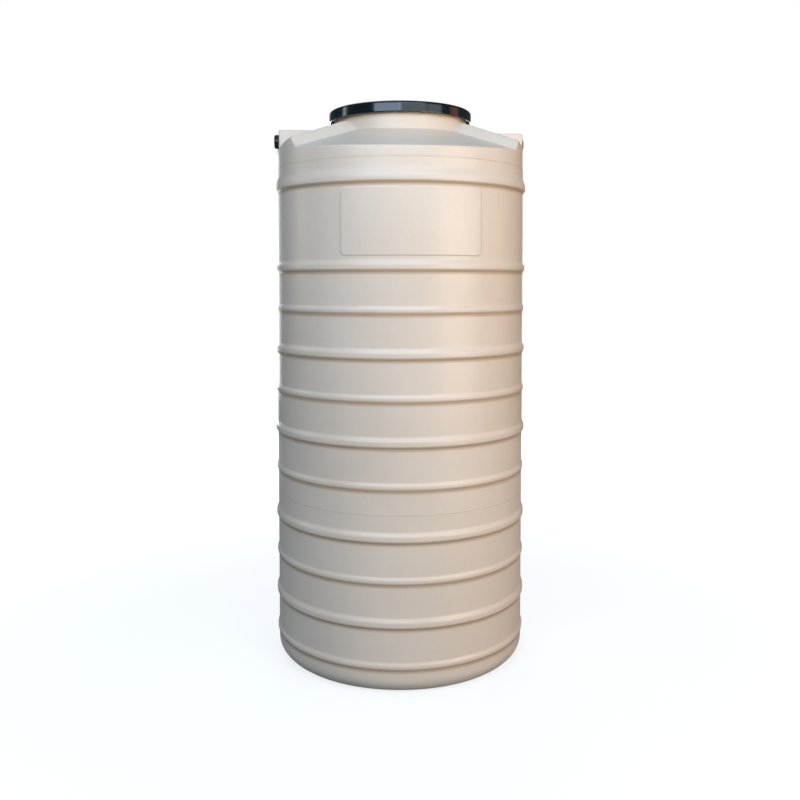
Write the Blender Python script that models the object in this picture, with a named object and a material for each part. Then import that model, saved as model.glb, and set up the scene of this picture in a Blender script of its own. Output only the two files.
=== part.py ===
"""Slimline water tank.

A ribbed polyethylene shell moulded in one piece, with a gabled roof, a drop-over lid, three tank
connectors and a float valve on the inlet. Metres, +Z up, origin at the middle of the base. The front,
with its raised panel, faces -Y, and the inlet is on the -X side.
"""

from math import asin, cos, hypot, pi, radians, sin, sqrt

import bmesh
import bpy
from mathutils import Matrix, Vector

# Gap between pieces that touch, and running gap of the moving ones
TOUCH_GAP = 0.0003
RUNNING_GAP = 0.0004
MERGE_DISTANCE = 1e-6

# Round wall and base
TANK_RADIUS = 0.430
WALL = 0.006
WALL_SEGMENTS = 40
BASE_CORNER = 0.052
BASE_CORNER_STEPS = 4

# Hoops round the wall, slim and broad in turn from the foot of each group, the groups parted by a band
LOWER_HOOP_START = 0.092
LOWER_HOOP_PITCH = 0.1355
LOWER_HOOP_COUNT = 4
PARTING_BAND = 0.1605
UPPER_HOOP_PITCH = 0.1372
UPPER_HOOP_COUNT = 6
SLIM_HOOP_HALF = 0.015
SLIM_HOOP_FACE_HALF = 0.005
SLIM_HOOP_RISE = 0.0045
BROAD_HOOP_HALF = 0.0185
BROAD_HOOP_FACE_HALF = 0.009
BROAD_HOOP_RISE = 0.0065

# Shoulder hoop over the panel's band, with a longer slope above it, and the step of the collar over it
PANEL_BAND = 0.271
SHOULDER_HOOP_RISE = 0.008
SHOULDER_SLOPE_HEIGHT = 0.040
COLLAR_BAND = 0.023
COLLAR_STEP = 0.0015

# Raised panel on the front of the wall, its foot a little above the topmost slim or broad hoop
PANEL_HALF_ANGLE = radians(31.2)
PANEL_STAND = 0.030
PANEL_HEIGHT = 0.214
PANEL_RISE = 0.0025
PANEL_CORNER = 0.020
PANEL_CORNER_STEPS = 3

# Roof: a cone whose front and back halves tilt down to a low eave
EAVE_RISE = 0.032
ROOF_SLOPE = 0.320
ROOF_TILT = 0.094

# Gable ridges from the neck to the wall, one in each quarter, their heights above the plain roof
RIDGE_WALL_ANGLE = radians(61.85)
RIDGE_WALL_RISE = 0.033
RIDGE_NECK_ANGLE = radians(55.45)
RIDGE_NECK_RISE = 0.0345
RIDGE_NECK_STANDOFF = 0.015
RIDGE_FRONT_WALL_ANGLE = radians(57.15)
RIDGE_FRONT_NECK_ANGLE = radians(44.8)
RIDGE_ROOT = 0.020

# Flat-topped boss for a fitting on each side of the roof
BOSS_SETBACK = 0.011
BOSS_HALF_WIDTH = 0.086
BOSS_TOP_RISE = 0.0975
BOSS_EDGE = 0.005
BOSS_EDGE_STEPS = 2
ROUND_PROFILE = 0.5

# Neck and lid
NECK_RADIUS = 0.230
NECK_RIM_WIDTH = 0.010
NECK_RIM_DEPTH = 0.014
NECK_STAND = 0.0522
LID_CLEARANCE = 0.004
LID_SKIRT = 0.0365
LID_WALL = 0.004
LID_EDGE = 0.009
LID_EDGE_STEPS = 3
LID_CROWN = 0.008
LID_CROWN_STEPS = 3
LID_SEGMENTS = 40
SEAL_WIDTH = 0.008
SEAL_HEIGHT = 0.005

# Inlet and overflow connectors, one on each side boss
PORT_DEPTH = 0.029
PORT_BORE = 0.0125
PORT_SHANK = 0.0165
PORT_HEAD = 0.0245
PORT_HEAD_LENGTH = 0.0155

# Outlet connector on its own flat boss at the back, midway between the two lowest hoops
OUTLET_BOSS_RADIUS = 0.040
OUTLET_BOSS_RISE = 0.004
OUTLET_BORE = 0.016
OUTLET_SHANK = 0.021
OUTLET_HEAD = 0.0310
OUTLET_HEAD_LENGTH = 0.020

# What all connectors share
GASKET_THICKNESS = 0.0025
GASKET_MARGIN = 0.0015
NUT_LENGTH = 0.012
NUT_LAND = 0.005
SHANK_TAIL = 0.012
HEAD_EDGE = 0.003
HOLE_CLEARANCE = 0.0005
ROUND_SEGMENTS = 20
HEX_SIDES = 6

# Float valve: body along +X from the end of the inlet's shank
TAIL_LENGTH = 0.020
COLLAR_LENGTH = 0.008
COLLAR_LAND = 0.003
BARREL_RADIUS = 0.015
CHAMBER_RADIUS = 0.009
WATERWAY_RADIUS = 0.005
SEAT_SHELF = 0.004
SEAT_LENGTH = 0.004
SEAT_LIP = 0.001
NOZZLE_RADIUS = 0.007
NOZZLE_BORE = 0.0045
NOZZLE_DROP = 0.030
CAP_LENGTH = 0.004

# Plunger and its rubber washer
WASHER_RADIUS = 0.0065
WASHER_THICKNESS = 0.003
WASHER_RECESS = 0.002
PLUNGER_NOSE = 0.012
PLUNGER_TAIL = 0.007
PLUNGER_END_GAP = 0.001
PLUNGER_SLOT_DEPTH = 0.008

# Lever, its fork and pin
PIVOT_DROP = 0.021
FORK_GAP = 0.005
FORK_CHEEK = 0.003
FORK_HALF_LENGTH = 0.005
FORK_FOOT = 0.0045
PIN_RADIUS = 0.002
PIN_GAP = 0.00015
PIN_HEAD_RADIUS = 0.0032
PIN_HEAD_LENGTH = 0.0012
HUB_RADIUS = 0.0035
LEVER_STEP = 0.0002
LEVER_THICKNESS = 0.004
LEVER_HALF_WIDTH = 0.003
LEVER_FLAT_LENGTH = 0.020
FINGER_LENGTH = 0.016
FINGER_HALF_WIDTH = 0.0012
FINGER_TIP_RADIUS = 0.0025
DROOP_OPEN = radians(55)
DROOP_SHUT = radians(19)
ROD_RADIUS = 0.0028
FLOAT_DISTANCE = 0.270
FLOAT_RADIUS = 0.055
FLOAT_SOCKET = 0.020
FLOAT_NUT_LENGTH = 0.005
FLOAT_NUT_LAND = 0.003
FLOAT_STEPS = 7
SMALL_SEGMENTS = 16

# Colour, roughness and metallic value of each material
MATERIALS = {
    "beige_polyethylene": ((0.70, 0.61, 0.52), 0.38, 0.0),
    "black_polyethylene": ((0.012, 0.012, 0.014), 0.22, 0.0),
    "black_rubber": ((0.02, 0.02, 0.02), 0.75, 0.0),
    "cast_brass": ((0.62, 0.44, 0.18), 0.35, 1.0),
    "white_nylon": ((0.80, 0.79, 0.74), 0.45, 0.0),
    "stainless_pin": ((0.60, 0.60, 0.60), 0.30, 1.0),
    "float_plastic": ((0.75, 0.28, 0.06), 0.40, 0.0),
}

# Heights and places that follow from the sizes above
LOWER_HOOP_END = LOWER_HOOP_START + LOWER_HOOP_PITCH * (LOWER_HOOP_COUNT - 1)
UPPER_HOOP_START = LOWER_HOOP_END + PARTING_BAND
UPPER_HOOP_END = UPPER_HOOP_START + UPPER_HOOP_PITCH * (UPPER_HOOP_COUNT - 1)
SHOULDER_HOOP_HEIGHT = UPPER_HOOP_END + PANEL_BAND
PANEL_FOOT = UPPER_HOOP_END + PANEL_STAND
PANEL_TOP = PANEL_FOOT + PANEL_HEIGHT
COLLAR_HEIGHT = SHOULDER_HOOP_HEIGHT + SHOULDER_SLOPE_HEIGHT + COLLAR_BAND
EAVE_HEIGHT = COLLAR_HEIGHT + EAVE_RISE
BOSS_FACE = TANK_RADIUS - BOSS_SETBACK
BOSS_TOP = EAVE_HEIGHT + BOSS_TOP_RISE
NECK_RIM_RADIUS = NECK_RADIUS + NECK_RIM_WIDTH
LID_RADIUS = NECK_RIM_RADIUS + LID_CLEARANCE + LID_WALL
LID_FOOT = EAVE_HEIGHT + (ROOF_SLOPE + ROOF_TILT) * (TANK_RADIUS - NECK_RADIUS) + NECK_STAND
LID_TOP = LID_FOOT + LID_SKIRT
LID_UNDERSIDE = LID_TOP - LID_WALL
NECK_TOP = LID_UNDERSIDE - SEAL_HEIGHT - 2 * TOUCH_GAP
PORT_HEIGHT = BOSS_TOP - PORT_DEPTH
SHANK_REACH = WALL + NUT_LENGTH + SHANK_TAIL
OUTLET_HEIGHT = LOWER_HOOP_START + LOWER_HOOP_PITCH / 2
VALVE_PLACE = Vector((SHANK_REACH + TOUCH_GAP - BOSS_FACE, 0, PORT_HEIGHT))

HALF_SWING = (DROOP_OPEN - DROOP_SHUT) / 2
PLUNGER_TRAVEL = 2 * FINGER_LENGTH * sin(HALF_SWING)
SEAT_BACK = COLLAR_LENGTH + SEAT_SHELF
SEAT_FACE = SEAT_BACK + TOUCH_GAP + SEAT_LENGTH
WASHER_PROUD = WASHER_THICKNESS + TOUCH_GAP - WASHER_RECESS
SHUT_NOSE = SEAT_FACE + TOUCH_GAP + WASHER_PROUD
PIVOT_X = SHUT_NOSE + PLUNGER_NOSE + PLUNGER_TRAVEL / 2
PLUNGER_X = PIVOT_X + PLUNGER_TRAVEL / 2
BARREL_END = PLUNGER_X + PLUNGER_TAIL + PLUNGER_END_GAP
PIVOT_PLACE = VALVE_PLACE + Vector((PIVOT_X, 0, -PIVOT_DROP))

AXIS_X = Vector((1, 0, 0))
AXIS_Y = Vector((0, 1, 0))
AXIS_Z = Vector((0, 0, 1))


# Shared tools
def clear_scene():
    for thing in list(bpy.data.objects):
        bpy.data.objects.remove(thing, do_unlink=True)


def material(name):
    """The named material, made once."""
    found = bpy.data.materials.get(name)
    if found:
        return found
    colour, roughness, metallic = MATERIALS[name]
    made = bpy.data.materials.new(name)
    made.use_nodes = True
    shader = made.node_tree.nodes["Principled BSDF"]
    shader.inputs["Base Color"].default_value = (*colour, 1)
    shader.inputs["Roughness"].default_value = roughness
    shader.inputs["Metallic"].default_value = metallic
    return made


def to_object(name, mesh_data, place=(0, 0, 0)):
    """An object holding the bmesh, with all faces turned outward."""
    bmesh.ops.recalc_face_normals(mesh_data, faces=mesh_data.faces)
    mesh = bpy.data.meshes.new(name)
    mesh_data.to_mesh(mesh)
    mesh_data.free()
    made = bpy.data.objects.new(name, mesh)
    made.location = place
    bpy.context.collection.objects.link(made)
    return made


def finish(made, material_name, smooth_angle=radians(30)):
    """Gives a piece its material and smooth shading up to an angle."""
    made.data.materials.clear()
    made.data.materials.append(material(material_name))
    made.data.shade_smooth()
    made.data.set_sharp_from_angle(angle=smooth_angle)
    return made


def revolve(name, profile, segments, axis=AXIS_Z, place=(0, 0, 0)):
    """Spins a closed outline of (radius, height) points about an axis."""
    work = bmesh.new()
    points = [work.verts.new((radius, 0, height)) for radius, height in profile]
    edges = [work.edges.new(pair) for pair in zip(points, points[1:])]
    closed = profile[0][0] > 0 or profile[-1][0] > 0
    if closed:
        edges.append(work.edges.new((points[-1], points[0])))
    bmesh.ops.spin(
        work, geom=points + edges, cent=(0, 0, 0), axis=AXIS_Z, angle=2 * pi, steps=segments,
        use_merge=True,
    )
    bmesh.ops.remove_doubles(work, verts=work.verts, dist=MERGE_DISTANCE)
    turn = AXIS_Z.rotation_difference(Vector(axis)).to_matrix()
    bmesh.ops.transform(work, matrix=turn.to_4x4(), verts=work.verts)
    return to_object(name, work, place)


def block(name, low, high, place=(0, 0, 0)):
    """A box between two corners."""
    low = Vector(low)
    size = Vector(high) - low
    work = bmesh.new()
    spread = Matrix.Translation(low + size / 2) @ Matrix.Diagonal((*size, 1))
    bmesh.ops.create_cube(work, size=1, matrix=spread)
    return to_object(name, work, place)


def tube(radius, start, end, bore=0):
    """Outline of a rod, or of a tube where it has a bore."""
    return [(bore, start), (radius, start), (radius, end), (bore, end)]


def rounded_tube(radius, start, end, bore, edge):
    """Outline of a tube whose outer end has a rounded edge."""
    corner = arc(radius - edge, end - edge, edge, 0, pi / 2, 3)
    return [(bore, start), (radius, start), *corner, (bore, end)]


def arc(centre_radius, centre_height, size, start, end, steps):
    """Points on an arc of a profile, its ends included."""
    angles = [start + (end - start) * step / steps for step in range(steps + 1)]
    return [(centre_radius + size * cos(a), centre_height + size * sin(a)) for a in angles]


def combine(target, other, operation):
    """Joins, cuts or intersects the target with another solid, which is used up."""
    modifier = target.modifiers.new(operation.lower(), "BOOLEAN")
    modifier.operation = operation
    modifier.object = other
    evaluated = target.evaluated_get(bpy.context.evaluated_depsgraph_get())
    mesh = bpy.data.meshes.new_from_object(evaluated)
    target.modifiers.remove(modifier)
    work = bmesh.new()
    work.from_mesh(mesh)
    bmesh.ops.remove_doubles(work, verts=work.verts, dist=MERGE_DISTANCE)
    work.to_mesh(mesh)
    work.free()
    target.data = mesh
    bpy.data.objects.remove(other, do_unlink=True)
    return target


def join(target, *others):
    for other in others:
        combine(target, other, "UNION")
    return target


def cut(target, *others):
    for other in others:
        combine(target, other, "DIFFERENCE")
    return target


# Tank shell
def hoop_groups():
    """Height and kind of each hoop below the shoulder, from the foot up."""
    lower = [LOWER_HOOP_START + LOWER_HOOP_PITCH * n for n in range(LOWER_HOOP_COUNT)]
    upper = [UPPER_HOOP_START + UPPER_HOOP_PITCH * n for n in range(UPPER_HOOP_COUNT)]
    for group in (lower, upper):
        for n, height in enumerate(group):
            yield height, n % 2 == 1


def hoop_outline(low, high, face_low, face_high, rise, inset):
    """Height and rise of a hoop's corners: a flat face outside, a plain groove inside."""
    if inset:
        return [(low, 0), ((face_low + face_high) / 2, rise), (high, 0)]
    return [(low, 0), (face_low, rise), (face_high, rise), (high, 0)]


def hoop(height, broad, inset):
    half = BROAD_HOOP_HALF if broad else SLIM_HOOP_HALF
    face = BROAD_HOOP_FACE_HALF if broad else SLIM_HOOP_FACE_HALF
    rise = BROAD_HOOP_RISE if broad else SLIM_HOOP_RISE
    return hoop_outline(height - half, height + half, height - face, height + face, rise, inset)


def shoulder_hoop(inset):
    height = SHOULDER_HOOP_HEIGHT
    face = BROAD_HOOP_FACE_HALF
    low = height - BROAD_HOOP_HALF
    high = height + SHOULDER_SLOPE_HEIGHT
    return hoop_outline(low, high, height - face, height + face, SHOULDER_HOOP_RISE, inset)


def wall_profile(inset):
    """The wall from the middle of the base to above the ridges, moved inward by the inset."""
    radius = TANK_RADIUS - inset
    corner = BASE_CORNER - inset
    points = [(0, inset)]
    points += arc(radius - corner, inset + corner, corner, -pi / 2, 0, BASE_CORNER_STEPS)
    for height, broad in hoop_groups():
        points += [(radius + rise, level) for level, rise in hoop(height, broad, inset)]
    points += [(radius + rise, level) for level, rise in shoulder_hoop(inset)]
    points += [(radius, COLLAR_HEIGHT), (radius - COLLAR_STEP, COLLAR_HEIGHT + COLLAR_STEP)]
    points += [(radius - COLLAR_STEP, LID_FOOT - inset), (0, LID_FOOT - inset)]
    return points


def roof_level(x, y):
    """Height of the plain roof at a place."""
    slope = ROOF_SLOPE * (TANK_RADIUS - hypot(x, y))
    return EAVE_HEIGHT + slope + ROOF_TILT * (TANK_RADIUS - abs(y))


def roof_cone(inset):
    """All that lies under the plain roof, out past the wall."""
    reach = TANK_RADIUS * 1.1
    drop = inset * sqrt(1 + (ROOF_SLOPE + ROOF_TILT) ** 2)
    work = bmesh.new()
    made = bmesh.ops.create_cone(
        work, cap_ends=True, segments=WALL_SEGMENTS, radius1=reach, radius2=reach,
        depth=EAVE_HEIGHT,
    )
    rim = [vert for vert in made["verts"] if vert.co.z > 0]
    for vert in rim:
        vert.co.z = roof_level(vert.co.x, vert.co.y) - drop
    top = next(face for face in work.faces if all(vert in rim for vert in face.verts))
    peak = bmesh.ops.poke(work, faces=[top])["verts"][0]
    peak.co = (0, 0, roof_level(0, 0) - drop)
    return to_object("roof_cone", work)


def ridge_section(radius, ridge_angle, ridge_rise, front_angle, rear_y):
    """Peak, front foot and rear foot of a ridge at one distance from the tank's axis."""
    peak = Vector((radius * sin(ridge_angle), radius * cos(ridge_angle), 0))
    front = Vector((radius * sin(front_angle), radius * cos(front_angle), 0))
    rear = Vector((sqrt(radius**2 - rear_y**2), rear_y, 0))
    for point in (peak, front, rear):
        point.z = roof_level(point.x, point.y)
    peak.z += ridge_rise
    return peak, front, rear


def ridge(side_x, side_y, inset):
    """One gable ridge, running on past the wall and the neck, with its feet under the roof."""
    wall = ridge_section(
        TANK_RADIUS, RIDGE_WALL_ANGLE, RIDGE_WALL_RISE, RIDGE_FRONT_WALL_ANGLE, BOSS_HALF_WIDTH,
    )
    neck = ridge_section(
        NECK_RADIUS + RIDGE_NECK_STANDOFF, RIDGE_NECK_ANGLE, RIDGE_NECK_RISE,
        RIDGE_FRONT_NECK_ANGLE, BOSS_HALF_WIDTH,
    )
    rows = []
    for share in (-0.15, 1.1):
        peak, front, rear = [start.lerp(end, share) for start, end in zip(wall, neck)]
        front = front + (front - peak) * RIDGE_ROOT / (peak.z - front.z)
        rear = rear + (rear - peak) * RIDGE_ROOT / (peak.z - rear.z)
        slope = abs(peak.z - front.z) / (front.xy - peak.xy).length
        drop = Vector((0, 0, inset * sqrt(1 + slope**2)))
        rows.append([peak - drop, front - drop, rear - drop])
    work = bmesh.new()
    for point in rows[0] + rows[1]:
        work.verts.new((side_x * point.x, side_y * point.y, point.z))
    bmesh.ops.convex_hull(work, input=work.verts)
    return to_object("ridge", work)


def side_boss(side_x, inset):
    """The flat-topped boss on one side, from its upright face in to the neck."""
    top = BOSS_TOP - inset
    reach = BOSS_FACE - inset
    half = BOSS_HALF_WIDTH - inset
    root = COLLAR_HEIGHT
    work = bmesh.new()
    size = Vector((reach, 2 * half, top - root))
    middle = Vector((side_x * reach / 2, 0, (top + root) / 2))
    spread = Matrix.Translation(middle) @ Matrix.Diagonal((*size, 1))
    bmesh.ops.create_cube(work, size=1, matrix=spread)
    edge_size = BOSS_EDGE - inset
    if edge_size > 0:
        upper = [edge for edge in work.edges if max(v.co.z for v in edge.verts) > top - TOUCH_GAP]
        edges = [edge for edge in upper if any(abs(v.co.x) > half for v in edge.verts)]
        bmesh.ops.bevel(
            work, geom=edges, offset=edge_size, segments=BOSS_EDGE_STEPS, profile=ROUND_PROFILE,
            affect="EDGES",
        )
    return to_object("side_boss", work)


def panel_pad(inset):
    """The raised panel as a curved pad with rounded corners, moved inward by the inset."""
    half = TANK_RADIUS * sin(PANEL_HALF_ANGLE) - inset
    work = bmesh.new()
    low = Vector((-half, -2 * TANK_RADIUS, PANEL_FOOT + inset))
    high = Vector((half, -TANK_RADIUS / 2, PANEL_TOP - inset))
    size = high - low
    spread = Matrix.Translation(low + size / 2) @ Matrix.Diagonal((*size, 1))
    bmesh.ops.create_cube(work, size=1, matrix=spread)
    along = [edge for edge in work.edges if abs(edge.verts[0].co.y - edge.verts[1].co.y) > half]
    bmesh.ops.bevel(
        work, geom=along, offset=PANEL_CORNER - inset, segments=PANEL_CORNER_STEPS, profile=ROUND_PROFILE,
        affect="EDGES",
    )
    pad = to_object("panel_pad", work)
    outer = TANK_RADIUS + PANEL_RISE - inset
    ring = tube(outer, PANEL_FOOT - PANEL_CORNER, PANEL_TOP + PANEL_CORNER, outer - WALL)
    combine(pad, revolve("panel_ring", ring, WALL_SEGMENTS), "INTERSECT")
    return pad


def outlet_boss(inset):
    """The flat round boss under the outlet, moved inward by the inset."""
    face = TANK_RADIUS + OUTLET_BOSS_RISE - inset
    outline = tube(OUTLET_BOSS_RADIUS - inset, face - 2 * WALL, face)
    return revolve("outlet_boss", outline, ROUND_SEGMENTS, AXIS_Y, (0, 0, OUTLET_HEIGHT))


def tank_volume(name, inset):
    """The whole tank as a filled form, moved inward by the inset."""
    roof = roof_cone(inset)
    for side_x in (-1, 1):
        for side_y in (-1, 1):
            join(roof, ridge(side_x, side_y, inset))
        join(roof, side_boss(side_x, inset))
    form = revolve(name, wall_profile(inset), WALL_SEGMENTS)
    combine(form, roof, "INTERSECT")
    return join(form, panel_pad(inset), outlet_boss(inset))


def neck_form():
    """The neck with its turned-out rim, rising out of the roof."""
    rim_foot = NECK_TOP - NECK_RIM_DEPTH
    outline = [
        (0, EAVE_HEIGHT),
        (NECK_RADIUS, EAVE_HEIGHT),
        (NECK_RADIUS, rim_foot),
        (NECK_RIM_RADIUS, rim_foot + NECK_RIM_WIDTH / 2),
        (NECK_RIM_RADIUS, NECK_TOP),
        (0, NECK_TOP),
    ]
    return revolve("neck", outline, WALL_SEGMENTS)


def port_places():
    """Wall face, outward axis and hole radius of each connector."""
    return {
        "inlet": (Vector((-BOSS_FACE, 0, PORT_HEIGHT)), -AXIS_X),
        "overflow": (Vector((BOSS_FACE, 0, PORT_HEIGHT)), AXIS_X),
        "outlet": (Vector((0, TANK_RADIUS + OUTLET_BOSS_RISE, OUTLET_HEIGHT)), AXIS_Y),
    }


def tank_shell():
    shell = join(tank_volume("tank_shell", 0), neck_form())
    cut(shell, tank_volume("cavity", WALL))
    bore = tube(NECK_RADIUS - WALL, EAVE_HEIGHT, NECK_TOP + WALL)
    cut(shell, revolve("manhole", bore, WALL_SEGMENTS))
    for port, (place, outward) in port_places().items():
        shank = OUTLET_SHANK if port == "outlet" else PORT_SHANK
        hole = tube(shank + HOLE_CLEARANCE, -3 * WALL, WALL)
        cut(shell, revolve("hole", hole, ROUND_SEGMENTS, outward, place))
    return finish(shell, "beige_polyethylene")


# Lid and seal
def dome(reach, foot, rise):
    """Points of a shallow dome from the axis out, its last point at the edge left out."""
    shares = [n / LID_CROWN_STEPS for n in range(LID_CROWN_STEPS)]
    return [(reach * share, foot + rise * (1 - share**2)) for share in shares]


def manhole_lid():
    crown_edge = LID_RADIUS - LID_EDGE
    under_edge = NECK_RADIUS - WALL
    under_rise = LID_CROWN * (under_edge / crown_edge) ** 2
    outline = dome(crown_edge, LID_TOP, LID_CROWN)
    outline += arc(crown_edge, LID_TOP - LID_EDGE, LID_EDGE, pi / 2, 0, LID_EDGE_STEPS)
    outline += [(LID_RADIUS, LID_FOOT), (LID_RADIUS - LID_WALL, LID_FOOT)]
    outline += [(LID_RADIUS - LID_WALL, LID_UNDERSIDE), (under_edge, LID_UNDERSIDE)]
    outline += reversed(dome(under_edge, LID_UNDERSIDE, under_rise))
    return finish(revolve("manhole_lid", outline, LID_SEGMENTS), "black_polyethylene")


def lid_seal():
    middle = NECK_RIM_RADIUS - NECK_RIM_WIDTH / 2
    start = NECK_TOP + TOUCH_GAP
    outline = tube(middle + SEAL_WIDTH / 2, start, start + SEAL_HEIGHT, middle - SEAL_WIDTH / 2)
    return finish(revolve("lid_seal", outline, LID_SEGMENTS), "black_rubber")


# Tank connectors, built outward from the wall's outer face
def hexagon(name, land_radius, start, end, bore, axis, place):
    """A hexagonal nut whose flats lie at the land radius."""
    corner = land_radius / cos(pi / HEX_SIDES)
    nut = revolve(name, tube(corner, start, end), HEX_SIDES, axis, place)
    nut.data.transform(Matrix.Rotation(pi / HEX_SIDES, 4, axis))
    if bore:
        past = end - start
        cut(nut, revolve("nut_bore", tube(bore, start - past, end + past), ROUND_SEGMENTS, axis, place))
    return nut


def connector(port, place, outward, bore, shank, head, head_length):
    """One connector with the gasket under its head and the locknut inside the wall."""
    head_start = GASKET_THICKNESS + 2 * TOUCH_GAP
    head_end = head_start + head_length
    corner = arc(head - HEAD_EDGE, head_end - HEAD_EDGE, HEAD_EDGE, 0, pi / 2, 3)
    outline = [(bore, -SHANK_REACH), (shank, -SHANK_REACH), (shank, head_start), (head, head_start)]
    outline += corner
    outline += [(bore, head_end)]
    body = revolve(f"{port}_connector", outline, ROUND_SEGMENTS, outward, place)
    gasket = tube(
        head - GASKET_MARGIN, TOUCH_GAP, TOUCH_GAP + GASKET_THICKNESS, shank + HOLE_CLEARANCE,
    )
    seal = revolve(f"{port}_gasket", gasket, ROUND_SEGMENTS, outward, place)
    nut_end = -WALL - TOUCH_GAP
    nut = hexagon(
        f"{port}_locknut", shank + NUT_LAND, nut_end - NUT_LENGTH, nut_end, shank + TOUCH_GAP,
        outward, place,
    )
    finish(body, "black_polyethylene")
    finish(seal, "black_rubber")
    finish(nut, "black_polyethylene")


def connectors():
    for port, (place, outward) in port_places().items():
        if port == "outlet":
            sizes = (OUTLET_BORE, OUTLET_SHANK, OUTLET_HEAD, OUTLET_HEAD_LENGTH)
        else:
            sizes = (PORT_BORE, PORT_SHANK, PORT_HEAD, PORT_HEAD_LENGTH)
        connector(port, place, outward, *sizes)


# Float valve
def valve_body():
    barrel = [
        (WATERWAY_RADIUS, -TAIL_LENGTH),
        (PORT_BORE - TOUCH_GAP, -TAIL_LENGTH),
        (PORT_BORE - TOUCH_GAP, COLLAR_LENGTH / 2),
        (BARREL_RADIUS, COLLAR_LENGTH / 2),
        (BARREL_RADIUS, BARREL_END),
        (CHAMBER_RADIUS, BARREL_END),
        (CHAMBER_RADIUS, SEAT_BACK),
        (WATERWAY_RADIUS, SEAT_BACK),
    ]
    body = revolve("valve_body", barrel, SMALL_SEGMENTS, AXIS_X, VALVE_PLACE)
    collar = hexagon(
        "collar", BARREL_RADIUS + COLLAR_LAND, 0, COLLAR_LENGTH, PORT_BORE - 2 * TOUCH_GAP, AXIS_X,
        VALVE_PLACE,
    )
    join(body, collar)
    nozzle_x = (SEAT_FACE + PLUNGER_X - PLUNGER_NOSE) / 2
    nozzle_place = VALVE_PLACE + Vector((nozzle_x, 0, 0))
    middle = (BARREL_RADIUS + CHAMBER_RADIUS) / 2
    join(body, revolve("nozzle", tube(NOZZLE_RADIUS, middle, NOZZLE_DROP), SMALL_SEGMENTS, -AXIS_Z,
                       nozzle_place))
    cut(body, revolve("nozzle_bore", tube(NOZZLE_BORE, 0, 2 * NOZZLE_DROP), SMALL_SEGMENTS, -AXIS_Z,
                      nozzle_place))
    fork_half = FORK_GAP / 2
    for side in (-1, 1):
        inner, outer = sorted((side * fork_half, side * (fork_half + FORK_CHEEK)))
        low = (PIVOT_X - FORK_HALF_LENGTH, inner, -PIVOT_DROP - FORK_FOOT)
        high = (PIVOT_X + FORK_HALF_LENGTH, outer, -middle)
        join(body, block("fork_cheek", low, high, VALVE_PLACE))
    sweep = FINGER_LENGTH * sin(HALF_SWING) + FINGER_TIP_RADIUS
    slot_half = fork_half - LEVER_STEP
    slot_low = (PIVOT_X - sweep, -slot_half, -BARREL_RADIUS - WALL)
    slot_high = (PIVOT_X + sweep, slot_half, 0)
    cut(body, block("finger_slot", slot_low, slot_high, VALVE_PLACE))
    reach = fork_half + FORK_CHEEK + WALL
    hole = tube(PIN_RADIUS + PIN_GAP, -reach, reach)
    cut(body, revolve("pin_hole", hole, SMALL_SEGMENTS, AXIS_Y, PIVOT_PLACE))
    return finish(body, "cast_brass")


def valve_seat():
    outer = CHAMBER_RADIUS - TOUCH_GAP
    start = SEAT_BACK + TOUCH_GAP
    outline = [
        (NOZZLE_BORE, start),
        (outer, start),
        (outer, SEAT_FACE - SEAT_LIP),
        (WATERWAY_RADIUS + SEAT_LIP, SEAT_FACE),
        (NOZZLE_BORE, SEAT_FACE),
    ]
    finish(revolve("valve_seat", outline, SMALL_SEGMENTS, AXIS_X, VALVE_PLACE), "white_nylon")


def valve_end_cap():
    start = BARREL_END + TOUCH_GAP
    outline = rounded_tube(BARREL_RADIUS, start, start + CAP_LENGTH, 0, CAP_LENGTH / 3)
    finish(revolve("valve_end_cap", outline, SMALL_SEGMENTS, AXIS_X, VALVE_PLACE), "cast_brass")


def plunger_and_washer():
    """Both in the open position, with the origin at the middle of the plunger's slot."""
    place = VALVE_PLACE + Vector((PLUNGER_X, 0, 0))
    radius = CHAMBER_RADIUS - RUNNING_GAP
    recess = WASHER_RADIUS + TOUCH_GAP
    floor = WASHER_RECESS - PLUNGER_NOSE
    outline = [
        (0, floor), (recess, floor), (recess, -PLUNGER_NOSE), (radius, -PLUNGER_NOSE),
        (radius, PLUNGER_TAIL), (0, PLUNGER_TAIL),
    ]
    plunger = revolve("valve_plunger", outline, SMALL_SEGMENTS, AXIS_X, place)
    half = FINGER_TIP_RADIUS + RUNNING_GAP
    low = (-half, -CHAMBER_RADIUS, -CHAMBER_RADIUS)
    high = (half, CHAMBER_RADIUS, PLUNGER_SLOT_DEPTH - CHAMBER_RADIUS)
    cut(plunger, block("plunger_slot", low, high, place))
    finish(plunger, "cast_brass")
    washer_end = floor - TOUCH_GAP
    washer = tube(WASHER_RADIUS, washer_end - WASHER_THICKNESS, washer_end)
    finish(revolve("plunger_washer", washer, SMALL_SEGMENTS, AXIS_X, place), "black_rubber")


def lever_pivot():
    """An empty on the pin's axis that carries the lever at its open droop."""
    pivot = bpy.data.objects.new("lever_pivot", None)
    pivot.location = PIVOT_PLACE
    pivot.rotation_euler = (0, DROOP_OPEN, 0)
    bpy.context.collection.objects.link(pivot)
    return pivot


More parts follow.
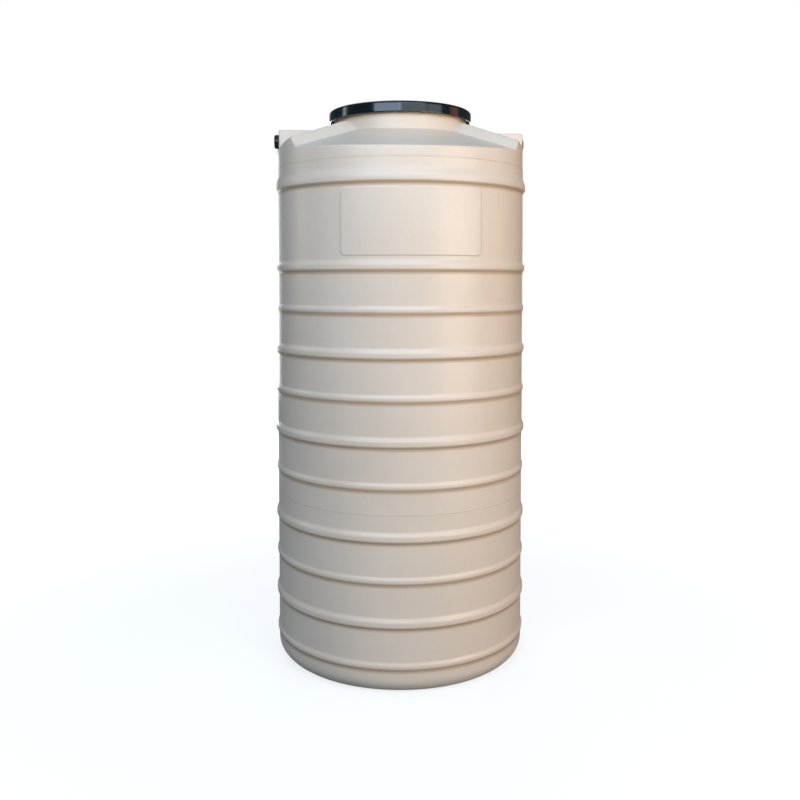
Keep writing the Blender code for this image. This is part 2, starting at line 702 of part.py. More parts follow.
def lever_arm(pivot):
    """Hub, finger, flat and rod in one forging, with the rod along local +X."""
    hub_half = LEVER_THICKNESS / 2
    tip_half = hub_half - LEVER_STEP
    half = tip_half - LEVER_STEP
    flat = block("lever_arm", (0, -half, -LEVER_HALF_WIDTH), (LEVER_FLAT_LENGTH, half, LEVER_HALF_WIDTH))
    hub = revolve("hub", tube(HUB_RADIUS, -hub_half, hub_half), SMALL_SEGMENTS, AXIS_Y)
    turn = pi / 2 + (DROOP_OPEN + DROOP_SHUT) / 2
    tip_place = Vector((FINGER_LENGTH * cos(turn), 0, FINGER_LENGTH * sin(turn)))
    tip = revolve("tip", tube(FINGER_TIP_RADIUS, -tip_half, tip_half), SMALL_SEGMENTS, AXIS_Y, tip_place)
    finger_half = half - LEVER_STEP
    shank_high = (FINGER_LENGTH, finger_half, FINGER_HALF_WIDTH)
    shank = block("finger", (0, -finger_half, -FINGER_HALF_WIDTH), shank_high)
    shank.rotation_euler = (0, -turn, 0)
    rod_end = FLOAT_DISTANCE - FLOAT_RADIUS + FLOAT_SOCKET - TOUCH_GAP
    rod = revolve("rod", tube(ROD_RADIUS, LEVER_FLAT_LENGTH / 2, rod_end), SMALL_SEGMENTS, AXIS_X)
    join(flat, hub, shank, tip, rod)
    hole = tube(PIN_RADIUS + PIN_GAP, -LEVER_THICKNESS, LEVER_THICKNESS)
    cut(flat, revolve("pin_hole", hole, SMALL_SEGMENTS, AXIS_Y))
    flat.parent = pivot
    return finish(flat, "cast_brass")


def pivot_pin():
    end = FORK_GAP / 2 + FORK_CHEEK + TOUCH_GAP
    outline = [
        (0, -end - PIN_HEAD_LENGTH),
        (PIN_HEAD_RADIUS, -end - PIN_HEAD_LENGTH),
        (PIN_HEAD_RADIUS, -end),
        (PIN_RADIUS, -end),
        (PIN_RADIUS, end + PIN_HEAD_LENGTH),
        (0, end + PIN_HEAD_LENGTH),
    ]
    finish(revolve("pivot_pin", outline, SMALL_SEGMENTS, AXIS_Y, PIVOT_PLACE), "stainless_pin")


def float_ball(pivot):
    """The float, with a socket for the rod's end facing the pivot."""
    bore = ROD_RADIUS + TOUCH_GAP
    mouth = asin(bore / FLOAT_RADIUS)
    skin = arc(0, FLOAT_DISTANCE, FLOAT_RADIUS, mouth - pi / 2, pi / 2, FLOAT_STEPS)
    bottom = FLOAT_DISTANCE - FLOAT_RADIUS + FLOAT_SOCKET
    outline = [(0, bottom), (bore, bottom), *skin[:-1], (0, FLOAT_DISTANCE + FLOAT_RADIUS)]
    ball = revolve("float_ball", outline, SMALL_SEGMENTS, AXIS_X)
    ball.parent = pivot
    return finish(ball, "float_plastic", radians(40))


def float_locknut(pivot):
    end = FLOAT_DISTANCE - FLOAT_RADIUS - TOUCH_GAP
    nut = hexagon(
        "float_locknut", ROD_RADIUS + FLOAT_NUT_LAND, end - FLOAT_NUT_LENGTH, end,
        ROD_RADIUS + TOUCH_GAP, AXIS_X, (0, 0, 0),
    )
    nut.parent = pivot
    return finish(nut, "cast_brass")


def float_valve():
    valve_body()
    valve_seat()
    valve_end_cap()
    plunger_and_washer()
    pivot = lever_pivot()
    lever_arm(pivot)
    pivot_pin()
    float_ball(pivot)
    float_locknut(pivot)


clear_scene()
tank_shell()
manhole_lid()
lid_seal()
connectors()
float_valve()
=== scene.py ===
from math import acos, ceil, cos, hypot, pi, radians, sin

import bmesh
import bpy
from bpy.props import FloatProperty, FloatVectorProperty, IntProperty, PointerProperty
from mathutils import Matrix, Vector


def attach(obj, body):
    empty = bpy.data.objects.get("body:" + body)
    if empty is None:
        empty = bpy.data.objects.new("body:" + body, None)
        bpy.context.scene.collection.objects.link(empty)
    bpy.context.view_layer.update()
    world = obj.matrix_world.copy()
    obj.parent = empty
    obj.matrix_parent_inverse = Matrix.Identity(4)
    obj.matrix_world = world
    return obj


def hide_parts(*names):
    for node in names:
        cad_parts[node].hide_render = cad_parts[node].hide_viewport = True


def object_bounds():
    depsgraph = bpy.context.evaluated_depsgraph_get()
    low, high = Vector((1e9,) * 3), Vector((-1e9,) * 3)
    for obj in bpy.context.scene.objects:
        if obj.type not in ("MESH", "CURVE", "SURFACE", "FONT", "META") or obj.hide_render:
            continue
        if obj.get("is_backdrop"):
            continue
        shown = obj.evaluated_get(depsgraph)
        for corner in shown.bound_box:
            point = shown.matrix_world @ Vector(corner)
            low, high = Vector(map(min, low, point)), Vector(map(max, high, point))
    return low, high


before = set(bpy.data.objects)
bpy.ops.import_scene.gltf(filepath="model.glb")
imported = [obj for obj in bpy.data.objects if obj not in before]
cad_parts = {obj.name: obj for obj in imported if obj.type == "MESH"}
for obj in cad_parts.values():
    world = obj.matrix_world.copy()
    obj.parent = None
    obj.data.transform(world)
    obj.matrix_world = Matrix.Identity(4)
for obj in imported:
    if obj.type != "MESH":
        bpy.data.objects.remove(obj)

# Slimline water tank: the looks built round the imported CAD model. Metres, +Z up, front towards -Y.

CAD_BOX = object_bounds()

bl_info = {
    "name": "Slimline Water Tank",
    "version": (1, 0, 0),
    "blender": (4, 5, 0),
    "location": "View3D > Sidebar > Water Tank",
    "description": "Builds a slimline water tank with its lid, fittings and studio",
    "category": "Add Mesh",
}

AXIS_X = Vector((1, 0, 0))
AXIS_Y = Vector((0, 1, 0))
AXIS_Z = Vector((0, 0, 1))


def label(key):
    """The words of a key, as the user reads them."""
    return key.replace("_", " ").title()


def named(group):
    """Names each property of a group after its key."""
    for key, made in group.__annotations__.items():
        made.keywords["name"] = label(key)
    return group


def length(default, description):
    """A size in metres."""
    settings = {"unit": "LENGTH", "subtype": "DISTANCE", "precision": 4, "min": 0}
    return FloatProperty(description=description, default=default, **settings)


def angle(default, description):
    """An angle, its default given in degrees."""
    settings = {"unit": "ROTATION", "subtype": "ANGLE"}
    return FloatProperty(description=description, default=radians(default), **settings)


def number(default, description):
    return FloatProperty(description=description, default=default)


def count(default, description):
    return IntProperty(description=description, default=default, min=1)


def colour(default, description):
    settings = {"subtype": "COLOR", "size": 3, "min": 0, "max": 1}
    return FloatVectorProperty(description=description, default=default, **settings)


# Sizes
@named
class ShellSizes(bpy.types.PropertyGroup):
    tank_radius: length(0.430, "Outer radius of the wall between the hoops")
    wall: length(0.006, "Thickness of the moulded wall")
    base_corner: length(0.052, "Radius where the wall turns into the base")
    lower_start: length(0.092, "Height of the lowest hoop")
    lower_pitch: length(0.1355, "Distance between hoops of the lower group")
    lower_count: count(4, "Hoops in the lower group")
    upper_start: length(0.659, "Height of the first hoop above the parting line")
    upper_pitch: length(0.1372, "Distance between hoops of the upper group")
    upper_count: count(6, "Hoops in the upper group")
    slim_face: length(0.004, "Half height of its crest")
    slim_rise: length(0.0045, "How far it stands out")
    slim_fade: length(0.0155, "Height over which it fades into the wall above")
    broad_face: length(0.008, "Half height of its crest")
    broad_rise: length(0.0065, "How far it stands out")
    broad_fade: length(0.0215, "Height over which it fades into the wall above")
    hoop_under: length(0.0130, "Height of the short flank under every hoop")
    crest_share: number(0.3, "Share of a crest's half height that stays flat above")
    shoulder_height: length(1.616, "Height of the shoulder hoop")
    shoulder_rise: length(0.008, "How far the shoulder hoop stands out")
    shoulder_slope: length(0.034, "Height of the slope above the shoulder hoop")
    parting_height: length(0.572, "Height of the mould's parting line")
    parting_rise: length(0.0005, "How far the parting line stands out")
    parting_half: length(0.0025, "Half height of the parting line")
    panel_angle: angle(31.2, "Half of the raised panel's width, as an angle")
    panel_foot: length(1.375, "Height of the panel's lower edge")
    panel_top: length(1.589, "Height of the panel's upper edge")
    panel_rise: length(0.0025, "How far the panel stands out")
    panel_corner: length(0.020, "Radius of the panel's corners")
    panel_edge: length(0.0045, "Width of the panel's rounded edge")
    collar_height: length(1.679, "Height of the small step under the roof")
    collar_step: length(0.0015, "Depth of that step")
    eave_height: length(1.711, "Height of the eave at the front")
    eave_round: length(0.004, "Rounding between wall and roof")
    roof_slope: number(0.320, "Rise of the roof towards the neck")
    roof_tilt: number(0.094, "Rise of the roof towards the sides")
    ridge_peak: angle(61.85, "Angle of a ridge's crest at the wall")
    ridge_peak_neck: angle(54.5, "Angle of a ridge's crest at the neck")
    ridge_foot: angle(57.15, "Angle of a ridge's front foot at the wall")
    ridge_foot_neck: angle(42.95, "Angle of a ridge's front foot at the neck")
    ridge_rise: length(0.033, "Height of a ridge above the roof at the wall")
    ridge_rise_neck: length(0.0346, "Height of a ridge above the roof at the neck")
    ridge_soft: angle(0.6, "Half width of the rounding along a ridge's crest and feet")
    boss_face: length(0.419, "Distance of a side boss's end face from the axis")
    boss_half: length(0.0855, "Half width of a side boss")
    boss_top: length(1.8085, "Height of a side boss")
    boss_edge: length(0.005, "Rounding of a side boss's edges")
    boss_edge_inside: length(0.002, "Rounding of a side boss's edges inside the tank")
    boss_root: length(0.004, "Gap of a side boss over the collar, and its depth in the neck")
    neck_radius: length(0.230, "Outer radius of the neck")
    neck_top: length(1.8729, "Height of the neck's rim")
    rim_width: length(0.010, "How far the neck's rim turns out")
    rim_depth: length(0.014, "Height of the rim")
    outlet_boss: length(0.040, "Radius of the flat boss under the outlet")
    outlet_rise: length(0.004, "How far that boss stands out")
    outlet_root: length(0.012, "Depth of that boss from its face into the wall")
    outlet_edge: length(0.0015, "Rounding of that boss's edge")


@named
class LidSizes(bpy.types.PropertyGroup):
    radius: length(0.248, "Outer radius of the lid's skirt")
    foot: length(1.846, "Height of the skirt's lower edge")
    top: length(1.8825, "Height where the crown begins")
    wall: length(0.004, "Thickness of the lid")
    edge: length(0.009, "Rounding between skirt and crown")
    crown: length(0.008, "Rise of the crown")
    lip: length(0.0012, "Rounding of the skirt's lower edge")
    seat: length(0.2245, "Radius within which the underside follows the crown")
    seal_radius: length(0.235, "Middle radius of the ring seal")
    seal_width: length(0.008, "Width of the ring seal")
    seal_height: length(0.005, "Height of the ring seal")
    seal_edge: length(0.0012, "Rounding of the ring seal's edges")
    seal_gap: length(0.0003, "Gap between the ring seal and the lid")


@named
class FittingSizes(bpy.types.PropertyGroup):
    port_height: length(1.7795, "Height of the inlet and the overflow")
    port_bore: length(0.0125, "Radius of their bores")
    port_shank: length(0.0165, "Radius of their threaded shanks")
    port_head: length(0.0245, "Radius of their heads")
    port_length: length(0.0155, "Length of their heads")
    outlet_height: length(0.15975, "Height of the outlet")
    outlet_bore: length(0.016, "Radius of the outlet's bore")
    outlet_shank: length(0.021, "Radius of the outlet's threaded shank")
    outlet_head: length(0.031, "Radius of the outlet's head")
    outlet_length: length(0.020, "Length of the outlet's head")
    gasket: length(0.0025, "Thickness of the gaskets")
    gasket_margin: length(0.0015, "How far a gasket stays inside its head")
    gasket_edge: length(0.0007, "Rounding of a gasket's outer edge")
    touch_gap: length(0.0003, "Gap between pieces that touch")
    hole_gap: length(0.0005, "Gap between a shank and its hole")
    shank_reach: length(0.030, "How far the shanks reach in from the wall's outer face")
    head_edge: length(0.0065, "Rounding of the heads")
    bore_edge: length(0.0015, "Rounding of the bores' mouths")
    head_chamfer: length(0.001, "Bevel of the heads' inner edges")
    shank_chamfer: length(0.0008, "Bevel of the shanks' ends")
    hole_inside: length(0.018, "Reach of a hole's cutter inside the wall's outer face")
    hole_outside: length(0.006, "Reach of a hole's cutter outside it")
    thread_pitch: length(0.0023, "Pitch of the shanks' threads")
    thread_depth: length(0.0008, "Depth of the shanks' threads")
    thread_end: length(0.0065, "Distance of a thread's outer end from the wall's outer face")


@named
class Finishes(bpy.types.PropertyGroup):
    tank: colour((0.71, 0.623, 0.54), "Colour of the tank's polyethylene")
    tank_shade: colour((0.665, 0.573, 0.485), "Its deeper tint")
    # painted shade: the warm tint mixed in under the hoops and under the lid stands for the shade that
    # falls there
    tank_hollow: colour((0.50, 0.36, 0.24), "Its tint under the hoops and the lid")
    black: colour((0.010, 0.012, 0.016), "Colour of the lid and the fittings")
    lid_gloss: colour((0.72, 0.86, 1.0), "Tint of what the lid mirrors")
    rubber: colour((0.02, 0.02, 0.02), "Colour of gaskets, washer and seal")
    brass: colour((0.62, 0.44, 0.18), "Colour of the valve")
    nylon: colour((0.80, 0.79, 0.74), "Colour of the valve's seat")
    steel: colour((0.60, 0.60, 0.60), "Colour of the lever's pin")
    float_ball: colour((0.75, 0.28, 0.06), "Colour of the float ball")


@named
class Studio(bpy.types.PropertyGroup):
    azimuth: angle(-5.5, "Direction of the camera from the front")
    distance: length(3.127, "Distance of the camera from the tank's axis")
    eye: length(1.296, "Height of the camera")
    pitch: angle(3.0, "How far the camera looks down")
    lens: number(39.66, "Focal length in millimetres on a 36 mm sensor")
    shift: number(-0.09, "Vertical shift of the picture")
    floor: colour((0.26, 0.30, 0.33), "Colour of the floor where it lights the tank")
    ambient: colour((0.05, 0.085, 0.11), "Dim light from all round")
    floor_half: length(60, "Half width of the floor")
    aim: length(1.0, "Height at which the lamps point")
    glow_near: number(0.76, "How much the floor's paper is lifted towards white near the tank")
    glow_start: length(0.9, "Distance from the tank's axis where that lift begins to grow")
    glow_end: length(3.0, "Distance where the paper is plain white")


# Meshes
def add_object(name, data):
    made = bpy.data.objects.new(name, data)
    bpy.context.scene.collection.objects.link(made)
    return made


def applied(holder, *others):
    """The mesh of an object with its modifiers applied. The object and the others are removed."""
    graph = bpy.context.evaluated_depsgraph_get()
    result = bpy.data.meshes.new_from_object(holder.evaluated_get(graph))
    for made in (holder, *others):
        bpy.data.objects.remove(made, do_unlink=True)
    return result


def piece(name, mesh, material, body, slot, *nodes, edge_angle=40):
    """Puts a finished mesh into the scene, smooth up to an angle, as a piece that rides on a body."""
    mesh.shade_smooth()
    mesh.set_sharp_from_angle(angle=radians(edge_angle))
    made = add_object(name, mesh)
    mesh.materials.clear()
    mesh.materials.append(material)
    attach(made, body)
    if nodes:
        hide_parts(*nodes)


def face_out(mesh):
    """Merges doubles and points all faces of a closed mesh outwards."""
    work = bmesh.new()
    work.from_mesh(mesh)
    bmesh.ops.remove_doubles(work, verts=work.verts, dist=1e-6)
    bmesh.ops.recalc_face_normals(work, faces=work.faces)
    work.to_mesh(mesh)
    work.free()


def arc(centre_radius, centre_height, size, start, end, steps):
    """Points on an arc of a profile, its ends included, angles in degrees."""
    turns = [radians(start + (end - start) * step / steps) for step in range(steps + 1)]
    return [(centre_radius + size * cos(a), centre_height + size * sin(a)) for a in turns]


def turned(name, profile, segments):
    """Mesh of a closed outline of (radius, height) points spun about Z."""
    points, faces = [], []
    on_axis = [radius < 1e-9 for radius, _ in profile]
    index = []
    for (radius, height), centre in zip(profile, on_axis):
        if centre:
            index.append([len(points)] * segments)
            points.append((0, 0, height))
            continue
        index.append(list(range(len(points), len(points) + segments)))
        for n in range(segments):
            a = 2 * pi * n / segments
            points.append((radius * cos(a), radius * sin(a), height))
    rings = list(zip(index, index[1:])) + [(index[-1], index[0])]
    if on_axis[0] and on_axis[-1]:
        rings.pop()
    for low, high in rings:
        for n in range(segments):
            m = (n + 1) % segments
            corners = [low[n], low[m], high[m], high[n]]
            face = [c for k, c in enumerate(corners) if c not in corners[:k]]
            if len(face) > 2:
                faces.append(face)
    mesh = bpy.data.meshes.new(name)
    mesh.from_pydata(points, [], faces)
    face_out(mesh)
    return mesh


def block(low, high):
    """A box between two corners, as a bmesh."""
    low, high = Vector(low), Vector(high)
    size = high - low
    work = bmesh.new()
    bmesh.ops.create_cube(work, matrix=Matrix.Translation(low + size / 2) @ Matrix.Diagonal((*size, 1)))
    return work


def merge_solid(target, work, operation):
    """Joins or cuts the target mesh with a solid given as a bmesh, and returns the new mesh."""
    mesh = bpy.data.meshes.new("tool")
    work.to_mesh(mesh)
    work.free()
    holder, tool = add_object("holder", target), add_object("tool", mesh)
    modifier = holder.modifiers.new(operation, "BOOLEAN")
    modifier.operation = operation
    modifier.solver = "EXACT"
    modifier.object = tool
    result = applied(holder, tool)
    if not result.polygons:
        raise RuntimeError(f"{operation} left nothing of {target.name}")
    return result


# Node trees
def opaque(tint):
    """A plain colour with full alpha; a socket stays as it is."""
    return tint if isinstance(tint, bpy.types.NodeSocket) else (*tint, 1)


class Tree:
    """Short ways to add nodes to a tree and to link them."""

    def __init__(self, tree):
        self.tree = tree

    def link(self, source, target):
        if isinstance(source, bpy.types.NodeSocket):
            self.tree.links.new(source, target)
        elif source is not None:
            target.default_value = source

    def node(self, kind, inputs=(), **settings):
        """A new node, its inputs given by name or number as sockets or plain values."""
        made = self.tree.nodes.new(kind)
        for key, value in settings.items():
            setattr(made, key, value)
        for key, value in dict(inputs).items():
            self.link(value, made.inputs[key])
        return made

    def math(self, operation, *values):
        return self.node("ShaderNodeMath", enumerate(values), operation=operation).outputs[0]

    def parts(self, vector):
        """The X, Y and Z of a vector."""
        return self.node("ShaderNodeSeparateXYZ", {0: vector}).outputs

    def largest(self, values):
        most = values[0]
        for value in values[1:]:
            most = self.math("MAXIMUM", most, value)
        return most

    def mix(self, factor, first, second):
        """A colour between two, each given as a socket or as a plain colour."""
        inputs = {"Factor": factor, "A": opaque(first), "B": opaque(second)}
        return self.node("ShaderNodeMix", inputs, data_type="RGBA").outputs["Result"]

    def ease(self, value, low, high, to_low, to_high):
        """Smooth step from one value to another while the input goes from low to high."""
        inputs = enumerate((value, low, high, to_low, to_high))
        return self.node("ShaderNodeMapRange", inputs, interpolation_type="SMOOTHSTEP").outputs[0]


def geometry_tree(name, sizes):
    """A tree with geometry and material inputs and one named input for each size."""
    tree = bpy.data.node_groups.new(name, "GeometryNodeTree")
    face = tree.interface
    face.new_socket("Geometry", in_out="INPUT", socket_type="NodeSocketGeometry")
    for key in sizes:
        face.new_socket(label(key), in_out="INPUT", socket_type="NodeSocketFloat")
    face.new_socket("Material", in_out="INPUT", socket_type="NodeSocketMaterial")
    face.new_socket("Geometry", in_out="OUTPUT", socket_type="NodeSocketGeometry")
    kit = Tree(tree)
    inputs = kit.node("NodeGroupInput").outputs
    return kit, {key: inputs[label(key)] for key in ("geometry", *sizes, "material")}


def push_out(kit, given, across, depth, lift, share_name):
    """Ends a tree: moves every point away from Z by its share of the lift, and sets the material."""
    share = kit.node("GeometryNodeInputNamedAttribute", {"Name": share_name}, data_type="FLOAT")
    flat = kit.node("ShaderNodeCombineXYZ", {0: across, 1: depth})
    outward = kit.node("ShaderNodeVectorMath", {0: flat.outputs[0]}, operation="NORMALIZE")
    by = kit.math("MULTIPLY", lift, share.outputs["Attribute"])
    move = kit.node("ShaderNodeVectorMath", {0: outward.outputs[0], "Scale": by}, operation="SCALE")
    inputs = {"Geometry": given["geometry"], "Offset": move.outputs[0]}
    shift = kit.node("GeometryNodeSetPosition", inputs)
    real = kit.node("GeometryNodeRealizeInstances", {"Geometry": shift.outputs["Geometry"]})
    inputs = {"Geometry": real.outputs["Geometry"], "Material": given["material"]}
    paint = kit.node("GeometryNodeSetMaterial", inputs)
    kit.node("NodeGroupOutput", {0: paint.outputs["Geometry"]})


def run_tree(mesh, kit, values):
    """Runs a geometry tree on a mesh and returns the plain mesh that comes out."""
    holder = add_object("holder", mesh)
    modifier = holder.modifiers.new("tree", "NODES")
    modifier.node_group = kit.tree
    for item in kit.tree.interface.items_tree:
        if item.in_out == "INPUT" and item.name in values:
            modifier[item.identifier] = values[item.name]
    return applied(holder)


HOOP_SIZES = (
    "lower_start", "lower_pitch", "lower_count", "upper_start", "upper_pitch", "upper_count",
    "slim_face", "slim_rise", "slim_fade", "broad_face", "broad_rise", "broad_fade", "hoop_under",
    "crest_share", "shoulder_height", "shoulder_rise", "shoulder_slope", "parting_height",
    "parting_rise", "parting_half", "panel_angle", "panel_foot", "panel_top", "panel_rise",
    "panel_corner", "panel_edge", "tank_radius",
)


def nearest_hoops(kit, height, size):
    """Height over the nearest hoop of each group and over the shoulder, with half height, rise and fade."""
    for group in ("lower", "upper"):
        start, pitch = size(f"{group}_start"), size(f"{group}_pitch")
        turn = kit.math("ROUND", kit.math("DIVIDE", kit.math("SUBTRACT", height, start), pitch))
        last = kit.math("SUBTRACT", size(f"{group}_count"), 1.0)
        turn = kit.math("MINIMUM", kit.math("MAXIMUM", turn, 0.0), last)
        over = kit.math("SUBTRACT", height, kit.math("MULTIPLY_ADD", turn, pitch, start))
        broad = kit.math("MODULO", turn, 2.0)
        shape = []
        for part in ("face", "rise", "fade"):
            more = kit.math("SUBTRACT", size(f"broad_{part}"), size(f"slim_{part}"))
            shape.append(kit.math("MULTIPLY_ADD", broad, more, size(f"slim_{part}")))
        yield over, *shape
    over = kit.math("SUBTRACT", height, size("shoulder_height"))
    yield over, size("broad_face"), size("shoulder_rise"), size("shoulder_slope")


def hoop_lift(kit, size, over, face, rise, fade):
    """How far a hoop stands out at a height over its middle: short flank below, long fade above."""
    under = kit.math("SUBTRACT", 0.0, over)
    below = kit.ease(under, face, kit.math("ADD", face, size("hoop_under")), rise, 0.0)
    above = kit.ease(over, kit.math("MULTIPLY", face, size("crest_share")), fade, rise, 0.0)
    return kit.math("MINIMUM", below, above)


def hoop_tree():
    """Raises the hoops, the shoulder, the parting line and the panel on the plain wall."""
    kit, given = geometry_tree("tank_hoops", HOOP_SIZES)
    across, depth, height = kit.parts(kit.node("GeometryNodeInputPosition").outputs[0])
    size = given.get
    lifts = [hoop_lift(kit, size, *hoop) for hoop in nearest_hoops(kit, height, size)]
    line = kit.math("ABSOLUTE", kit.math("SUBTRACT", height, given["parting_height"]))
    lifts.append(kit.ease(line, 0.0, given["parting_half"], given["parting_rise"], 0.0))
    turn = kit.math("ABSOLUTE", kit.math("ARCTAN2", across, kit.math("SUBTRACT", 0.0, depth)))
    corner, edge = given["panel_corner"], given["panel_edge"]
    wide = kit.math("MULTIPLY", kit.math("SUBTRACT", turn, given["panel_angle"]), given["tank_radius"])
    middle = kit.math("MULTIPLY", kit.math("ADD", given["panel_foot"], given["panel_top"]), 0.5)
    half = kit.math("MULTIPLY", kit.math("SUBTRACT", given["panel_top"], given["panel_foot"]), 0.5)
    high = kit.math("SUBTRACT", kit.math("ABSOLUTE", kit.math("SUBTRACT", height, middle)), half)
    wide, high = kit.math("ADD", wide, corner), kit.math("ADD", high, corner)
    outside = [kit.math("POWER", kit.math("MAXIMUM", side, 0.0), 2.0) for side in (wide, high)]
    reach = kit.math("SQRT", kit.math("ADD", *outside))
    within = kit.math("MINIMUM", kit.math("MAXIMUM", wide, high), 0.0)
    off = kit.math("SUBTRACT", kit.math("ADD", reach, within), corner)
    lifts.append(kit.ease(kit.math("ADD", off, edge), 0.0, edge, given["panel_rise"], 0.0))
    push_out(kit, given, across, depth, kit.largest(lifts), "wall_share")
    return kit


THREAD_SIZES = ("thread_pitch", "thread_depth")


def thread_tree():
    """Cuts one helical thread into the marked length of a turned shank."""
    kit, given = geometry_tree("shank_thread", THREAD_SIZES)
    across, depth, height = kit.parts(kit.node("GeometryNodeInputPosition").outputs[0])
    turn = kit.math("DIVIDE", kit.math("ARCTAN2", depth, across), 2 * pi)
    phase = kit.math("FRACT", kit.math("ADD", kit.math("DIVIDE", height, given["thread_pitch"]), turn))
    groove = kit.math("MULTIPLY", kit.math("ABSOLUTE", kit.math("SUBTRACT", phase, 0.5)), 2.0)
    sink = kit.math("MULTIPLY", groove, given["thread_depth"])
    push_out(kit, given, across, depth, kit.math("SUBTRACT", 0.0, sink), "thread_share")
    return kit


def tree_values(sizes, keys, material):
    """Values for a tree's inputs, by the inputs' names."""
    return {"Material": material} | {label(key): float(getattr(sizes, key)) for key in keys}


def mark(mesh, name, values):
    """Stores one number for each vertex of a mesh."""
    layer = mesh.attributes.new(name, "FLOAT", "POINT")
    layer.data.foreach_set("value", values)


# Materials
def plastic(name, tint, shade, roughness, specular_ior, peel, wave, uneven=0.12):
    """Moulded plastic: two close tints, an uneven gloss, fine orange peel and slow waves."""
    made = bpy.data.materials.new(name)
    made.use_nodes = True
    kit = Tree(made.node_tree)
    shader = made.node_tree.nodes["Principled BSDF"]
    place = kit.node("ShaderNodeTexCoord").outputs["Object"]

    def noise(scale, detail, rough=0.5):
        inputs = {"Vector": place, "Scale": scale, "Detail": detail, "Roughness": rough}
        return kit.node("ShaderNodeTexNoise", inputs).outputs["Fac"]

    broad, fine = noise(2.6, 3.0), noise(70.0, 4.0, 0.6)
    share = kit.math("ADD", kit.math("MULTIPLY", broad, 0.75), kit.math("MULTIPLY", fine, 0.25))
    kit.link(kit.mix(kit.ease(share, 0.3, 0.75, 0.0, 1.0), tint, shade), shader.inputs["Base Color"])
    gloss = kit.math("ADD", roughness - uneven / 2, kit.math("MULTIPLY", noise(9.0, 5.0, 0.62), uneven))
    kit.link(gloss, shader.inputs["Roughness"])
    shader.inputs["IOR"].default_value = specular_ior
    normal = None
    for depth, height in ((peel, noise(420.0, 2.0)), (wave, noise(7.0, 1.5))):
        inputs = {"Strength": 1.0, "Distance": depth, "Height": height, "Normal": normal}
        normal = kit.node("ShaderNodeBump", inputs).outputs["Normal"]
    kit.link(normal, shader.inputs["Normal"])
    return made


def metal(name, tint, shade, roughness, grain):
    """Turned or cast metal: patchy tint, uneven gloss and fine tool marks."""
    made = plastic(name, tint, shade, roughness, 1.5, grain, grain * 4)
    made.node_tree.nodes["Principled BSDF"].inputs["Metallic"].default_value = 1.0
    return made


def paint_hollow_shade(made, sizes, lid_foot, tint):
    """Mixes a warm tint into the colour: painted shade in the hollows under every hoop, under the lid's
    foot and at the collar step, and the same tint along the parting line.
    """
    kit = Tree(made.node_tree)
    colour_in = made.node_tree.nodes["Principled BSDF"].inputs["Base Color"]
    plain = colour_in.links[0].from_socket
    height = kit.parts(kit.node("ShaderNodeTexCoord").outputs["Object"])[2]

    def size(key):
        return float(getattr(sizes, key))

    def band(off, flat, half, most):
        return kit.ease(kit.math("ABSOLUTE", off), flat, half, most, 0.0)

    lines = (
        # height, half height of the band and its strongest share; painted shade at the lid's foot and the
        # collar step, the same tint along the parting line
        (lid_foot, 0.009, 0.45),
        (sizes.collar_height, 0.004, 0.45),
        (sizes.parting_height, 0.003, 0.3),
    )
    shares = [band(kit.math("SUBTRACT", height, level), 0.0, half, most) for level, half, most in lines]
    under = sizes.hoop_under
    # painted shade in the hollow under each hoop
    for over, face, *_ in nearest_hoops(kit, height, size):
        off = kit.math("ADD", over, kit.math("ADD", face, under * 0.75))
        shares.append(band(off, under * 0.25, under * 0.95, 0.8))
    # mixes the painted shade into the base colour
    kit.link(kit.mix(kit.largest(shares), plain, tint), colour_in)


PLASTICS = {
    # finish: material, colour, share of its deeper tint, roughness, index, peel, waves
    "lid": ("lid_polyethylene", "black", 0.6, 0.13, 1.55, 0.00002, 0.0004),
    "fitting": ("fitting_polypropylene", "black", 0.6, 0.22, 1.45, 0.00002, 0.0),
    "rubber": ("seal_rubber", "rubber", 0.5, 0.72, 1.45, 0.00012, 0.0),
    "nylon": ("seat_nylon", "nylon", 0.9, 0.45, 1.5, 0.00003, 0.0),
    "float": ("float_polyethylene", "float_ball", 0.8, 0.4, 1.5, 0.00005, 0.0005),
}
METALS = {
    # finish: material, colour, share of its deeper tint, roughness, grain
    "brass": ("valve_brass", "brass", 0.75, 0.34, 0.00004),
    "steel": ("lever_pin_steel", "steel", 0.8, 0.28, 0.00002),
}


def tank_finish(scene):
    """The tank's polyethylene, with painted shade warming its hollows."""
    tints = scene.tank_finishes
    made = plastic(
        "tank_polyethylene", tints.tank, tints.tank_shade, roughness=0.33, specular_ior=1.52,
        peel=0.00005, wave=0.0010, uneven=0.05,
    )
    paint_hollow_shade(made, scene.tank_shell_sizes, scene.tank_lid_sizes.foot, tints.tank_hollow)
    return made


def finish(name):
    """The material of a finish, made the first time that it is asked for."""
    scene = bpy.context.scene
    if name == "tank":
        return bpy.data.materials.get("tank_polyethylene") or tank_finish(scene)
    tints = scene.tank_finishes
    title, tint_name, deeper, *settings = PLASTICS.get(name) or METALS[name]
    made = bpy.data.materials.get(title)
    if not made:
        tint = getattr(tints, tint_name)
        make = plastic if name in PLASTICS else metal
        made = make(title, tint, tuple(value * deeper for value in tint), *settings)
        if name == "lid":
            shader = made.node_tree.nodes["Principled BSDF"]
            shader.inputs["Specular Tint"].default_value = opaque(tints.lid_gloss)
    return made


# Tank shell
def roof_level(sizes, x, y):
    """Height of the plain roof at a place."""
    slope = sizes.roof_slope * (sizes.tank_radius - hypot(x, y))
    return sizes.eave_height + slope + sizes.roof_tilt * (sizes.tank_radius - abs(y))


